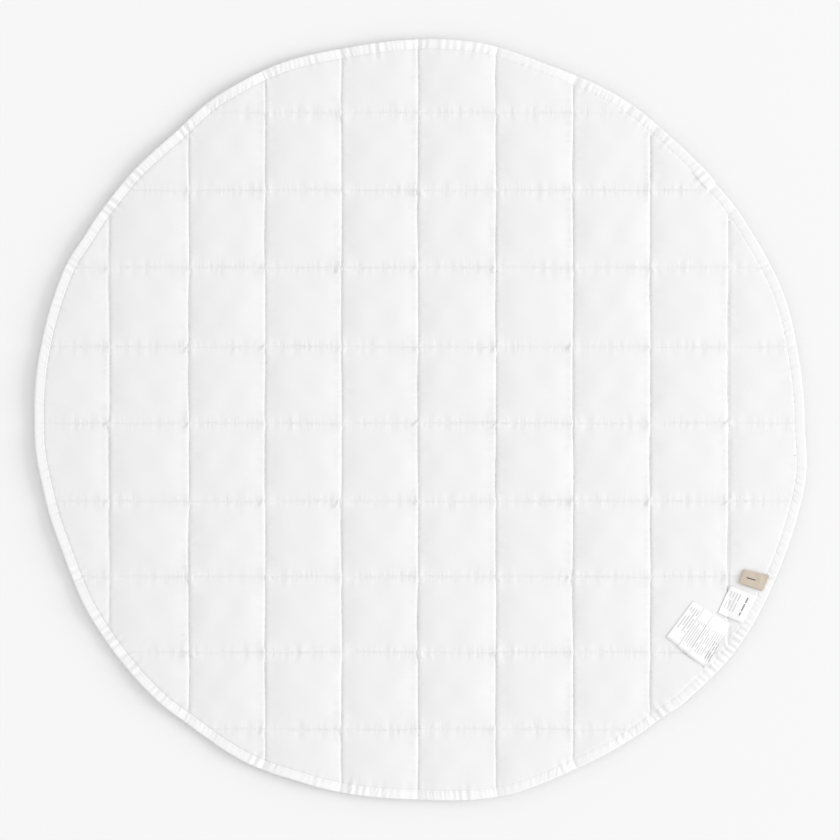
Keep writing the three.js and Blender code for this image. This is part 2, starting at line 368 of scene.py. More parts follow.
def tuck_height(x, y):
    """One small hooked fold beside each crossing, in metres."""
    sizes = bpy.context.scene.play_mat_pad
    height = np.zeros_like(x)
    for column, seam_x in enumerate(SEAMS_X):
        for level, seam_y in enumerate(SEAMS_Y):
            if math.hypot(seam_x, seam_y) > CROSSINGS_WITHIN:
                continue
            chance = math.sin(12.7 * column + 7.3 * level)
            side = -1 if chance < 0.35 else 1
            centre_x = seam_x + side * (4.2 + 1.2 * chance)
            centre_y = seam_y - 3.6 + 1.4 * math.sin(3.1 * column - 5.9 * level)
            turn = math.radians(58 + 22 * chance) * -side
            near = (np.abs(x - centre_x) < TUCK_REACH) & (np.abs(y - centre_y) < TUCK_REACH)
            dx = x[near] - centre_x
            dy = y[near] - centre_y
            length = dx * math.cos(turn) + dy * math.sin(turn)
            width = -dx * math.sin(turn) + dy * math.cos(turn) - 0.05 * length ** 2
            ridge = bell(width, 0, 1.8) - 0.8 * bell(width, 3, 1.8)
            size = sizes.tuck * max(0.15, 0.5 + 0.5 * math.sin(4.7 * column + 2.1 * level))
            height[near] += size * ridge * bell(length, 0, 5.5)
    return height


def grid_lines(seams, shares, outer):
    """Grid lines in millimetres: shares of half a square on each side of every seam."""
    lines = [seams[0] - away for away in outer[::-1]]
    for low, high in zip(seams[:-1], seams[1:]):
        half = (high - low) / 2
        lines += [low + share * half for share in shares]
        lines += [high - share * half for share in shares[:0:-1]]
    lines.append(seams[-1])
    lines += [seams[-1] + away for away in outer]
    return np.array(lines)


def read_points(verts):
    """Places of vertices, a row each."""
    return np.array([v.co[:] for v in verts])


def write_points(verts, points):
    """Moves vertices to places, a row each."""
    for vert, point in zip(verts, points):
        vert.co = point


def add_grid(bm, lines_x, lines_y):
    """Adds a grid whose lines lie at the given places, in metres."""
    made = bmesh.ops.create_grid(bm, x_segments=len(lines_x) - 1, y_segments=len(lines_y) - 1, size=1)
    verts = made["verts"]
    points = read_points(verts)
    column = np.rint((points[:, 0] + 1) / 2 * (len(lines_x) - 1)).astype(int)
    row = np.rint((points[:, 1] + 1) / 2 * (len(lines_y) - 1)).astype(int)
    points[:, 0] = lines_x[column] * MM
    points[:, 1] = lines_y[row] * MM
    write_points(verts, points)
    return verts


def add_object(name, data):
    """Adds an object with that mesh, light or camera to the scene, at the origin."""
    obj = bpy.data.objects.new(name, data)
    bpy.context.scene.collection.objects.link(obj)
    return obj


def add_mesh_object(bm, name, material):
    """Turns a bmesh into an object with one material."""
    mesh = bpy.data.meshes.new(name)
    bm.to_mesh(mesh)
    bm.free()
    mesh.materials.append(material)
    return add_object(name, mesh)


def finish_mesh(bm, name, material):
    """Makes an object of the bmesh, in place, riding on the mat."""
    bmesh.ops.translate(bm, verts=bm.verts[:], vec=-MIDDLE * MM)
    obj = add_mesh_object(bm, name, material)
    obj.data.shade_smooth()
    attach(obj, BODY)
    return obj


def new_material(name, colour, roughness):
    """A plain material, with its node tree and its shader."""
    material = bpy.data.materials.new(name)
    material.use_nodes = True
    shader = material.node_tree.nodes["Principled BSDF"]
    shader.inputs["Base Color"].default_value = (*colour, 1)
    shader.inputs["Roughness"].default_value = roughness
    return material, material.node_tree, shader


def add_bump(tree, shader, height_socket, strength, distance):
    """Lets a height socket tilt the shader's normal, over a distance in metres."""
    bump = tree.nodes.new("ShaderNodeBump")
    bump.inputs["Strength"].default_value = strength
    bump.inputs["Distance"].default_value = distance
    tree.links.new(height_socket, bump.inputs["Height"])
    tree.links.new(bump.outputs["Normal"], shader.inputs["Normal"])


def node_math(tree, operation, first, second):
    """One Math node; each input is a socket or a number."""
    node = tree.nodes.new("ShaderNodeMath")
    node.operation = operation
    for socket, value in zip(node.inputs, (first, second)):
        if isinstance(value, (int, float)):
            socket.default_value = value
        else:
            tree.links.new(value, socket)
    return node.outputs[0]


def node_mix(tree, first, second, factor):
    """One Mix node for colours; each of the two is a socket or a colour, and the factor is a socket."""
    node = tree.nodes.new("ShaderNodeMix")
    node.data_type = "RGBA"
    for key, value in (("A", first), ("B", second)):
        if isinstance(value, bpy.types.NodeSocket):
            tree.links.new(value, node.inputs[key])
        else:
            node.inputs[key].default_value = (*value, 1)
    tree.links.new(factor, node.inputs["Factor"])
    return node.outputs["Result"]


def node_between(tree, value, low, high):
    """One where a socket's value lies between two numbers, and zero elsewhere."""
    above = node_math(tree, "GREATER_THAN", value, low)
    return node_math(tree, "MULTIPLY", above, node_math(tree, "LESS_THAN", value, high))


def node_noise(tree, vector, scale, detail=2.0):
    """Soft random spots; the scale says how many lie along one unit of the vector."""
    node = tree.nodes.new("ShaderNodeTexNoise")
    node.inputs["Scale"].default_value = scale
    node.inputs["Detail"].default_value = detail
    tree.links.new(vector, node.inputs["Vector"])
    return node.outputs["Fac"]


def node_wave(tree, vector, scale, axis):
    """Even bands across an axis, slightly uneven as threads are."""
    node = tree.nodes.new("ShaderNodeTexWave")
    node.bands_direction = axis
    node.inputs["Scale"].default_value = scale
    node.inputs["Distortion"].default_value = 0.4
    tree.links.new(vector, node.inputs["Vector"])
    return node.outputs["Fac"]


def threads_to_scale(pitch):
    """Scale of a Wave texture whose bands lie one pitch apart."""
    return 2 * math.pi / (20 * pitch)


def weave_height(tree, vector, pitch):
    """Over and under of a plain weave with that pitch in metres."""
    upright = node_wave(tree, vector, threads_to_scale(pitch), "X")
    level = node_wave(tree, vector, threads_to_scale(pitch), "Y")
    return node_math(tree, "ADD", upright, level)


# Tints of a cloth as shares of its colour, and where the mix between them starts and how much it is mottled;
# the mix also carries painted light, whiter towards the right
TINT_DARK = 0.965
TINT_WHITE = 1.02
TINT_START = 0.38
TINT_MOTTLE = 0.25


def cloth_material(name, colour, fold_names=(), painted_light_to_right=0.0):
    """Matt woven cotton with a fine weave, faint mottling, painted light that whitens it towards the right
    where asked, and small folds where attributes ask for them.
    """
    material, tree, shader = new_material(name, colour, 0.92)
    shader.inputs["Sheen Weight"].default_value = 0.25
    shader.inputs["Sheen Roughness"].default_value = 0.6
    shader.inputs["Specular IOR Level"].default_value = 0.25
    place = tree.nodes.new("ShaderNodeTexCoord").outputs["Object"]
    weave = node_math(tree, "MULTIPLY", weave_height(tree, place, 0.9 * MM), 0.02)
    slub = node_math(tree, "MULTIPLY", node_noise(tree, place, 160), 0.04)
    height = node_math(tree, "ADD", weave, slub)
    for fold_name, stretch in fold_names:
        mask = tree.nodes.new("ShaderNodeAttribute")
        mask.attribute_name = fold_name
        scaled = tree.nodes.new("ShaderNodeMapping")
        scaled.inputs["Scale"].default_value = stretch
        tree.links.new(place, scaled.inputs["Vector"])
        folds = node_noise(tree, scaled.outputs["Vector"], 1.0, 1.0)
        patches = tree.nodes.new("ShaderNodeMapRange")
        patches.inputs["From Min"].default_value = 0.38
        patches.inputs["From Max"].default_value = 0.68
        patches.inputs["To Min"].default_value = 0.4
        tree.links.new(node_noise(tree, place, 17.0), patches.inputs["Value"])
        strength = node_math(tree, "MULTIPLY", patches.outputs["Result"], mask.outputs["Fac"])
        height = node_math(tree, "ADD", height, node_math(tree, "MULTIPLY", folds, strength))
    add_bump(tree, shader, height, 1.0, 1.0 * MM)
    # Painted light: the colour turns whiter towards the right, as if the light were stronger there
    split = tree.nodes.new("ShaderNodeSeparateXYZ")
    tree.links.new(place, split.inputs[0])
    painted_light_mix = node_math(tree, "MULTIPLY", split.outputs["X"], painted_light_to_right)
    painted_light_mix = node_math(tree, "ADD", painted_light_mix, TINT_START)
    mottled = node_math(tree, "MULTIPLY", node_noise(tree, place, 9.0), TINT_MOTTLE)
    tints = [[channel * share for channel in colour] for share in (TINT_DARK, TINT_WHITE)]
    tint = node_mix(tree, *tints, node_math(tree, "ADD", painted_light_mix, mottled))
    tree.links.new(tint, shader.inputs["Base Color"])
    return material


def plump_part(x, y):
    """Zero on a seam and one in the middle of a square, without the shoulder."""
    shares = [np.minimum(away.min(axis=1) / HALF_SQUARE, 1) for away in seam_distances(x, y)]
    rises = [1 - (1 - share) ** CROWN_POWER for share in shares]
    return rises[0] * rises[1]


def rim_plump(bearing):
    """How full the pad is where the tape meets it, from zero at the end of a seam."""
    return plump_part(*at_bearing(edge_radius(bearing) - FACE_EDGE, bearing))


def rim_lift(bearing):
    """How far the tape draws the back off the floor, in millimetres."""
    lift = bpy.context.scene.play_mat_binding.lift / MM
    waves = 0.5 + 0.5 * np.sin(np.radians(6 * bearing) + 1.2 * np.sin(np.radians(2 * bearing)))
    return lift * (0.4 + 0.25 * (1 - rim_plump(bearing)) + 0.35 * waves)


def rim_face(bearing):
    """Height of the pad's face where the tape begins, in millimetres."""
    return pad_height(*at_bearing(edge_radius(bearing) - TAPE_EDGE, bearing)) / MM


def move_to_rim(verts, row):
    """Moves vertices along their bearing to a row's place inside the rim, over the face or the floor."""
    points = read_points(verts)
    bearing = np.degrees(np.arctan2(points[:, 1], points[:, 0]))
    radius = (edge_radius(bearing) - row["inward"]) * MM
    base = rim_face(bearing) if row["base"] == "top" else back_lift(bearing, row["inward"])
    points[:, 0], points[:, 1] = at_bearing(radius, bearing)
    points[:, 2] = (base + row["height"]) * MM
    write_points(verts, points)


def trim_outside(bm, verts, inward_mm):
    """Deletes the grid outside a distance from the rim and returns what is left."""
    points = read_points(verts) / MM
    outside = inward(points[:, 0], points[:, 1]) < inward_mm
    bmesh.ops.delete(bm, geom=[v for v, out in zip(verts, outside) if out], context="VERTS")
    return [v for v, out in zip(verts, outside) if not out]


def boundary_of(verts):
    """Edges at those vertices that have a face on one side only."""
    found = set()
    for vert in verts:
        found.update(edge for edge in vert.link_edges if edge.is_boundary)
    return list(found)


# Rim of the pad inside the tape: inward of the rim, height over the face or over the lifted back
PAD_RIM = (
    {"inward": TAPE_EDGE, "base": "top", "height": 0},
    {"inward": 11, "base": "top", "height": -1.6},
    {"inward": 6.6, "base": "top", "height": -1.9},
    {"inward": 7.2, "base": "top", "height": -2.8},
    {"inward": 10.8, "base": "floor", "height": 2.2},
    {"inward": 20, "base": "floor", "height": 1.4},
)


# Grid of the face: growth of its steps away from a seam and the limit, and its lines past the last seams
FACE_GROWTH = 0.55
FACE_GROWTH_LIMIT = 3.45
FACE_OUTER = np.arange(1, 41) * 2.9

# Grid of the back: its steps as shares of half a square, and its lines past the last seams
BACK_SHARES = (0, 0.12, 0.3, 0.6, 1)
BACK_OUTER = (6, 15, 30, 50, 70, 90, 110)


class PLAYMAT_OT_pad(bpy.types.Operator):
    """Crowned and quilted face, thin rim and quilted back, as one closed piece"""

    bl_idname = "play_mat.pad"
    bl_label = "Quilted pad"

    def execute(self, context):
        bm = bmesh.new()
        rim = self.add_rim(bm, self.add_face(bm, context.scene.play_mat_pad.steps))
        bmesh.ops.bridge_loops(bm, edges=rim + self.add_back(bm))
        bmesh.ops.remove_doubles(bm, verts=bm.verts[:], dist=0.02 * MM)
        bmesh.ops.recalc_face_normals(bm, faces=bm.faces[:])
        folds = (("folds_level", (210, 34, 1)), ("folds_upright", (34, 170, 1)))
        # 0.85 paints light onto the face, making it whiter towards the right
        cloth = cloth_material("woven_cotton", context.scene.play_mat_colours.cloth, folds, 0.85)
        pad = finish_mesh(bm, "pad", cloth)
        self.mark_folds(pad)
        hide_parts("quilted_pad")
        return {"FINISHED"}

    def add_face(self, bm, steps):
        """Adds the quilted face and returns the edges round it."""
        growing = np.minimum(1 + FACE_GROWTH * np.arange(steps), FACE_GROWTH_LIMIT)
        shares = np.append(0, np.cumsum(growing)) / growing.sum()
        lines = [grid_lines(seams, shares, FACE_OUTER) for seams in (SEAMS_X, SEAMS_Y)]
        face = trim_outside(bm, add_grid(bm, *lines), FACE_GRID_EDGE)
        points = read_points(face)
        x, y = points[:, 0] / MM, points[:, 1] / MM
        points[:, 2] = pad_height(x, y)
        points[:, :2] = np.stack(warp(x, y), axis=1) * MM
        write_points(face, points)
        return boundary_of(face)

    def add_rim(self, bm, edges):
        """Adds the rim row by row from the edges of the face, and returns the edges round the last row."""
        for row in PAD_RIM:
            made = bmesh.ops.extrude_edge_only(bm, edges=edges)["geom"]
            ring = [item for item in made if isinstance(item, bmesh.types.BMVert)]
            move_to_rim(ring, row)
            bmesh.ops.remove_doubles(bm, verts=ring, dist=0.5 * MM)
            edges = boundary_of([vert for vert in ring if vert.is_valid])
        return edges

    def add_back(self, bm):
        """Adds the quilted back and returns the edges round it."""
        lines = [grid_lines(seams, BACK_SHARES, BACK_OUTER) for seams in (SEAMS_X, SEAMS_Y)]
        back = trim_outside(bm, add_grid(bm, *lines), BACK_GRID_EDGE)
        points = read_points(back)
        points[:, 2] = self.back_height(points[:, 0] / MM, points[:, 1] / MM)
        write_points(back, points)
        return boundary_of(back)

    def back_height(self, x, y):
        """Height of the back in metres: near the floor, and drawn up at the seams and under the rim."""
        from_x, from_y = seam_distances(x, y)
        near = np.minimum(from_x.min(axis=1), from_y.min(axis=1))
        lift = back_lift(np.degrees(np.arctan2(y, x)), inward(x, y))
        return (1.6 * bell(near, 0, 7) + 0.05 + lift) * MM

    def mark_folds(self, pad):
        """Marks where the finest folds lie across the seams, for the material."""
        points = read_points(pad.data.vertices) / MM
        from_x, from_y = seam_distances(points[:, 0], points[:, 1])
        for name, away, depth in (("folds_level", from_y, 1.6), ("folds_upright", from_x, 3.0)):
            near = away.min(axis=1)
            marks = depth * bell(near, 0, 6.8) * smooth_part(near, -0.8, 2.4)
            pad.data.attributes.new(name, "FLOAT", "POINT").data.foreach_set("value", marks)


# How far inside the rim the tape is stitched down, in millimetres
STITCH_LINE = 10.1

# Section of the tape: inward of the rim, height over the face or the lifted back, share of the gathers
TAPE_SECTION = (
    {"inward": 12.4, "base": "top", "height": -1.0, "gather": 0.6},
    {"inward": 12.5, "base": "top", "height": -0.3, "gather": 0.9},
    {"inward": 12.1, "base": "top", "height": 0.0, "gather": 1.1},
    {"inward": 11.0, "base": "top", "height": 0.1, "gather": 1.2},
    {"inward": STITCH_LINE, "base": "top", "height": -0.05, "gather": 1.2},
    {"inward": 9.1, "base": "top", "height": 0.1, "gather": 1.2},
    {"inward": 7.2, "base": "top", "height": 0.1, "gather": 1.1},
    {"inward": 4.8, "base": "top", "height": 0.1, "gather": 0.8},
    {"inward": 2.6, "base": "top", "height": 0.05, "gather": 0.45},
    {"inward": 1.3, "base": "top", "height": -0.05, "gather": 0.3},
    {"inward": 0.5, "base": "top", "height": -0.45, "gather": 0.25},
    {"inward": 0.1, "base": "top", "height": -1.1, "gather": 0.2},
    {"inward": 0.6, "base": "top", "height": -2.1, "gather": 0.1},
    {"inward": 3.6, "base": "top", "height": -3.0, "gather": 0.0},
    {"inward": 7.4, "base": "floor", "height": 1.4, "gather": 0.0},
    {"inward": 9.6, "base": "floor", "height": 0.15, "gather": 0.0},
    {"inward": 12.2, "base": "floor", "height": 0.05, "gather": 0.0},
    {"inward": 12.2, "base": "floor", "height": 0.8, "gather": 0.0},
    {"inward": 9.9, "base": "floor", "height": 1.0, "gather": 0.0},
    {"inward": 8.1, "base": "floor", "height": 2.1, "gather": 0.0},
    {"inward": 4.4, "base": "top", "height": -2.7, "gather": 0.1},
    {"inward": 2.3, "base": "top", "height": -1.8, "gather": 0.2},
    {"inward": 4.0, "base": "top", "height": -0.9, "gather": 0.2},
)

# Lapped end of the tape: bearing of its cut edge, bearings between which it fades, and height
LAP_BEARING = 38.9
LAP_FADE = (41.2, 43.5)
LAP_HEIGHT = 1.2

# Slow waves that make the gathers uneven along the tape: height and reach in millimetres, and phase
GATHER_WAVES = (
    {"height": 2.3, "reach": 11.7, "phase": 0},
    {"height": 3.1, "reach": 29.3, "phase": 1},
)


def tape_shape(sizes, bearing, row_number):
    """Radius and height of the tape in millimetres at a bearing and a row of its section."""
    section = {key: np.array([row[key] for row in TAPE_SECTION])[row_number] for key in TAPE_SECTION[0]}
    inward_mm, share = section["inward"], section["gather"]
    base = np.where(section["base"] == "floor", back_lift(bearing, inward_mm), rim_face(bearing))
    along = np.radians(bearing) * TAPE_RADIUS
    slant = along + inward_mm * (0.5 * np.sin(along / 61) - 0.3)
    pitch = sizes.pitch / MM
    uneven = slant
    for wave in GATHER_WAVES:
        uneven = uneven + wave["height"] * np.sin(slant / wave["reach"] + wave["phase"])
    ribs = 1.6 * np.abs(np.sin(np.pi * uneven / pitch)) - 1
    folds = 0.65 * ribs + 0.35 * np.sin(2 * np.pi * slant / (1.83 * pitch) + 2)
    patches = 0.55 + 0.9 * wander(along, 3, (83, 131, 47)) + 0.4 * (1 - rim_plump(bearing))
    patches = patches + 0.15 * bell(np.mod(bearing, 360), 325, 9)
    strength = np.clip(patches, 0.15, 1.1)
    gathers = sizes.gather / MM * share * folds * strength
    lapped = smooth_part(bearing, LAP_BEARING - 0.06, LAP_BEARING + 0.02)
    lapped = lapped * (1 - smooth_part(bearing, *LAP_FADE))
    on_face = share > 0.15
    lap = LAP_HEIGHT * lapped * on_face * smooth_part(14.2 - inward_mm, 0, 3)
    edge_scallop = (0.25 * folds * strength * (1 - lapped) + lapped * (1.4 - inward_mm / 4.6)) * on_face
    radius = edge_radius(bearing) - inward_mm + edge_scallop
    return radius, base + section["height"] + gathers * (1 - 0.8 * lapped) + lap


class PLAYMAT_OT_binding(bpy.types.Operator):
    """Gathered tape folded over the rim, with its lapped end"""

    bl_idname = "play_mat.binding"
    bl_label = "Edge binding"

    def execute(self, context):
        sizes = context.scene.play_mat_binding
        colours = context.scene.play_mat_colours
        rows = len(TAPE_SECTION)
        bm = bmesh.new()
        grid = bmesh.ops.create_grid(bm, x_segments=sizes.stations, y_segments=rows, size=1)["verts"]
        points = read_points(grid)
        station = np.rint((points[:, 0] + 1) / 2 * sizes.stations)
        row_number = np.rint((points[:, 1] + 1) / 2 * rows).astype(int) % rows
        bearing = np.mod(station, sizes.stations) * 360 / sizes.stations
        radius, height = tape_shape(sizes, bearing, row_number)
        points[:, :2] = np.stack(at_bearing(radius, bearing), axis=1) * MM
        points[:, 2] = height * MM
        write_points(grid, points)
        bmesh.ops.remove_doubles(bm, verts=bm.verts[:], dist=0.001 * MM)
        bmesh.ops.recalc_face_normals(bm, faces=bm.faces[:])
        binding = finish_mesh(bm, "binding", cloth_material("cotton_tape", colours.tape))
        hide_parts("edge_binding")
        return {"FINISHED"}


def stitch_places(context):
    """Middle in millimetres and turn of every stitch, a row each: along the seams, and round the tape."""
    thread = context.scene.play_mat_thread
    sizes = context.scene.play_mat_binding
    pitch = thread.pitch / MM
    run = np.arange(-500, 500, pitch)
    rows = []
    for seams, upright in ((SEAMS_X, True), (SEAMS_Y, False)):
        for seam in seams:
            x = np.full_like(run, seam) if upright else run
            y = run if upright else np.full_like(run, seam)
            keep = inward(x, y) > FACE_EDGE
            height = pad_height(x[keep], y[keep]) / MM
            turn = np.full_like(height, math.pi / 2 if upright else 0.0)
            rows.append(np.stack([*warp(x[keep], y[keep]), height, turn], axis=1))
    count = round(2 * math.pi * STITCH_RADIUS / pitch)
    angle = np.arange(count) * 2 * math.pi / count
    stitch_row = next(k for k, row in enumerate(TAPE_SECTION) if row["inward"] == STITCH_LINE)
    radius, height = tape_shape(sizes, np.degrees(angle), np.full(count, stitch_row))
    x, y = radius * np.cos(angle), radius * np.sin(angle)
    rows.append(np.stack([x, y, height, angle + math.pi / 2], axis=1))
    return np.concatenate(rows)


def add_copies(bm, count):
    """Adds a small ball and copies of it by doubling, and returns the points of one ball."""
    ball = read_points(bmesh.ops.create_icosphere(bm, subdivisions=1, radius=1)["verts"])
    made = 1
    while made < count:
        more = min(made, count - made)
        bm.verts.ensure_lookup_table()
        verts = bm.verts[:more * len(ball)]
        faces = {face for vert in verts for face in vert.link_faces}
        bmesh.ops.duplicate(bm, geom=verts + list(faces))
        made += more
    return ball


class PLAYMAT_OT_stitches(bpy.types.Operator):
    """Quilting stitches in the seams and a row of stitches round the tape"""

    bl_idname = "play_mat.stitches"
    bl_label = "Stitches"

    def execute(self, context):
        thread = context.scene.play_mat_thread
        colours = context.scene.play_mat_colours
        bm = bmesh.new()
        places = stitch_places(context)
        ball = add_copies(bm, len(places))
        along = ball[None, :, 0] * thread.length / 2
        across = ball[None, :, 1] * thread.width / 2
        cosine, sine = np.cos(places[:, 3, None]), np.sin(places[:, 3, None])
        points = np.stack([
            places[:, 0, None] * MM + along * cosine - across * sine,
            places[:, 1, None] * MM + along * sine + across * cosine,
            (places[:, 2, None] + 0.12) * MM + ball[None, :, 2] * thread.width / 2.4,
        ], axis=2)
        write_points(bm.verts, points.reshape(-1, 3))
        material = new_material("sewing_thread", colours.tape, 0.6)[0]
        stitches = finish_mesh(bm, "stitches", material)
        return {"FINISHED"}


# How much of a hollow a label bridges, and where along it the sewn end starts and ends to draw it down
BRIDGED = 0.3
DRAWN_DOWN = (0.72, 0.96)


def label_corner_rows(name):
    """Free corners and sewn corners of a label, in millimetres."""
    label = LABELS[name]
    free = np.array([label["left"], label["right"]], float)
    bearings = np.array(label["bearings"], float)
    radius = edge_radius(bearings) - np.array(label["sewn"], float)
    return free, np.stack(at_bearing(radius, bearings), axis=1)


def label_points(name, part, across):
    """Places on a label: part from the free end to the tape, across from its left side."""
    free, sewn = label_corner_rows(name)
    left = free[0] + part[:, None] * (sewn[0] - free[0])
    right = free[1] + part[:, None] * (sewn[1] - free[1])
    return left + across[:, None] * (right - left)


def label_rest(name, part):
    """Height in metres of a label that lies on the pad and bridges its hollows."""
    stations = np.linspace(0, 1, 25)
    across = np.linspace(0, 1, 15)
    places = [label_points(name, np.full_like(across, station), across) for station in stations]
    rests = np.array([pad_height(*place.T).max() for place in places])
    bridged = rests.copy()
    for before in range(len(stations)):
        for after in range(before + 1, len(stations)):
            between = np.arange(before, after + 1)
            line = np.interp(stations[between], stations[[before, after]], rests[[before, after]])
            bridged[between] = np.maximum(bridged[between], line)
    return np.interp(part, stations, bridged)


def laid_height(name, part, across, loose_mm, sewn_mm=0.2, under_mm=1.45):
    """Height in metres of a label that lies loose over the pad and is sewn down at its far end."""
    x, y = label_points(name, part, across).T
    face = pad_height(x, y)
    under_tape = under_mm * (1 - smooth_part(inward(x, y), 10.8, TAPE_EDGE + 0.5))
    loose = face + BRIDGED * (label_rest(name, part) - face) + loose_mm * MM
    sewn = face + (sewn_mm - under_tape) * MM
    down = smooth_part(part, *DRAWN_DOWN)
    return loose * (1 - down) + sewn * down


def label_places(tree):
    """UV of a label in metres, and its parts across and along the label, as sockets."""
    uv = tree.nodes.new("ShaderNodeUVMap")
    uv.uv_map = "label"
    split = tree.nodes.new("ShaderNodeSeparateXYZ")
    tree.links.new(uv.outputs["UV"], split.inputs[0])
    return uv.outputs["UV"], split.outputs["X"], split.outputs["Y"]


def node_within(tree, across, along, area):
    """One within an area of a label, in millimetres from its side and its end, and zero elsewhere."""
    over_side = node_between(tree, across, area["from_side"] * MM, area["to_side"] * MM)
    over_end = node_between(tree, along, area["from_end"] * MM, area["to_end"] * MM)
    return node_math(tree, "MULTIPLY", over_side, over_end)


def printed_material(name, colour, ink, rows):
    """White woven label with rows of plain dashes."""
    material, tree, shader = new_material(name, colour, 0.55)
    shader.inputs["Sheen Weight"].default_value = 0.3
    place, across, along = label_places(tree)
    printed = 0.0
    for row in rows:
        counted = node_math(tree, "DIVIDE", along, row["pitch"] * MM)
        line = node_math(tree, "LESS_THAN", node_math(tree, "FRACT", counted, 0), row["thick"])
        level = node_math(tree, "FLOOR", counted, 0)
        words = tree.nodes.new("ShaderNodeCombineXYZ")
        tree.links.new(node_math(tree, "MULTIPLY", across, 1 / (row["word"] * MM)), words.inputs["X"])
        tree.links.new(node_math(tree, "MULTIPLY", level, 7.31), words.inputs["Y"])
        noise = node_noise(tree, words.outputs[0], 1.0, 0.0)
        dashes = node_math(tree, "GREATER_THAN", noise, row["gaps"])
        inside = node_math(tree, "MULTIPLY", dashes, node_within(tree, across, along, row))
        mark = node_math(tree, "MULTIPLY", node_math(tree, "MULTIPLY", line, inside), row["dark"])
        printed = node_math(tree, "MAXIMUM", mark, printed)
    tree.links.new(node_mix(tree, colour, ink, printed), shader.inputs["Base Color"])
    add_bump(tree, shader, weave_height(tree, place, 0.6 * MM), 0.4, 0.03 * MM)
    return material


def set_uv(verts, uv_layer, across, along):
    """Writes the places across and along a label, in metres, to its UV map."""
    for vert, side, end in zip(verts, across, along):
        for loop in vert.link_loops:
            loop[uv_layer].uv = (side, end)


def add_leaf(bm, uv_layer, name, leaf, height):
    """Adds one leaf of a label, from a part along it to its sewn end and between two shares across it."""
    verts = bmesh.ops.create_grid(bm, x_segments=48, y_segments=14, size=1)["verts"]
    points = read_points(verts)
    part = leaf["first"] + (1 - leaf["first"]) * (points[:, 0] + 1) / 2
    across = leaf["left"] + (leaf["right"] - leaf["left"]) * (1 - points[:, 1]) / 2
    points[:, :2] = label_points(name, part, across) * MM
    points[:, 2] = height(part, across)
    write_points(verts, points)
    free, sewn = label_corner_rows(name)
    width = np.linalg.norm(free[1] - free[0]) * MM
    length = np.linalg.norm(sewn.mean(axis=0) - free.mean(axis=0)) * MM
    set_uv(verts, uv_layer, across * width, part * length)


def finish_label(bm, name, material, thickness):
    """Makes an object of a label's sheet and gives it a thickness."""
    bmesh.ops.recalc_face_normals(bm, faces=bm.faces[:])
    label = finish_mesh(bm, name, material)
    wall = label.modifiers.new("Thickness", "SOLIDIFY")
    wall.thickness = thickness
    wall.offset = 0
    return label


class PLAYMAT_OT_care_label(bpy.types.Operator):
    """Large white label, folded into three stepped leaves"""

    bl_idname = "play_mat.care_label"
    bl_label = "Care label"

    def execute(self, context):
        colours = context.scene.play_mat_colours
        bm = bmesh.new()
        uv_layer = bm.loops.layers.uv.new("label")
        leaves = (
            {"first": 0.0, "left": 0.0, "right": 1.0, "lift": 0.12, "curl": 0.2},
            {"first": 0.3, "left": 0.01, "right": 1.02, "lift": 0.34, "curl": 0.05},
            {"first": 0.55, "left": 0.02, "right": 1.03, "lift": 0.56, "curl": 0.05},
        )
        for leaf in leaves:
            add_leaf(bm, uv_layer, "care_label", leaf, lambda part, across: self.height(part, across, leaf))
        rows = (
            {"pitch": 3.6, "thick": 0.4, "word": 11.0, "gaps": 0.36, "from_side": 7, "to_side": 40,
             "from_end": 3, "to_end": 17, "dark": 0.4},
            {"pitch": 3.0, "thick": 0.45, "word": 9.0, "gaps": 0.4, "from_side": 17, "to_side": 52,
             "from_end": 19, "to_end": 70, "dark": 0.32},
            {"pitch": 3.0, "thick": 0.5, "word": 7.0, "gaps": 0.45, "from_side": 28, "to_side": 52,
             "from_end": 54, "to_end": 76, "dark": 0.6},
        )
        material = printed_material("label_satin", colours.label, colours.print_grey, rows)
        label = finish_label(bm, "care_label_leaves", material, 0.2 * MM)
        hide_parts("care_label")
        return {"FINISHED"}

    def height(self, part, across, leaf):
        """Rest height with soft creases and a lifted free end, each leaf over the one before."""
        crease = 0.15 * np.abs(np.mod(part * 4.5, 1) * 2 - 1) * (1 - part)
        end = (1 - smooth_part(part, leaf["first"], leaf["first"] + 0.3)) * leaf["curl"]
        loose = leaf["lift"] + crease + end + 0.08 * across ** 4
        return laid_height("care_label", part, across, loose, 0.6 * leaf["lift"])


class PLAYMAT_OT_size_label(bpy.types.Operator):
    """Smaller white label"""

    bl_idname = "play_mat.size_label"
    bl_label = "Size label"

    def execute(self, context):
        colours = context.scene.play_mat_colours
        bm = bmesh.new()
        uv_layer = bm.loops.layers.uv.new("label")
        leaf = {"first": 0, "left": 0, "right": 1}
        add_leaf(bm, uv_layer, "size_label", leaf, self.height)
        rows = (
            {"pitch": 4.0, "thick": 0.35, "word": 11.0, "gaps": 0.34, "from_side": 6, "to_side": 31,
             "from_end": 3.5, "to_end": 20, "dark": 0.4},
            {"pitch": 26.0, "thick": 0.07, "word": 3.2, "gaps": 0.4, "from_side": 5, "to_side": 34,
             "from_end": 25, "to_end": 30, "dark": 0.95},
        )
        material = printed_material("small_label_satin", colours.label, colours.print_grey, rows)
        label = finish_label(bm, "size_label_sheet", material, 0.35 * MM)
        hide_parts("size_label")
        return {"FINISHED"}

    def height(self, part, across):
        """Rest height with a lifted free end and a lifted corner."""
        end = 0.35 * (1 - smooth_part(part, 0, 0.45))
        corner = 0.2 * across ** 3 * (1 - part)
        return laid_height("size_label", part, across, 0.25 + end + corner)


# Folded tab: width and run of its tape in millimetres, and its small plain bar
TAB_WIDTH = 19
TAB_RUN = 84
TAB_BAR = {"from_side": 8.8, "to_side": 10.1, "from_end": 51, "to_end": 66}
TAB_INK = (0.03, 0.03, 0.03)


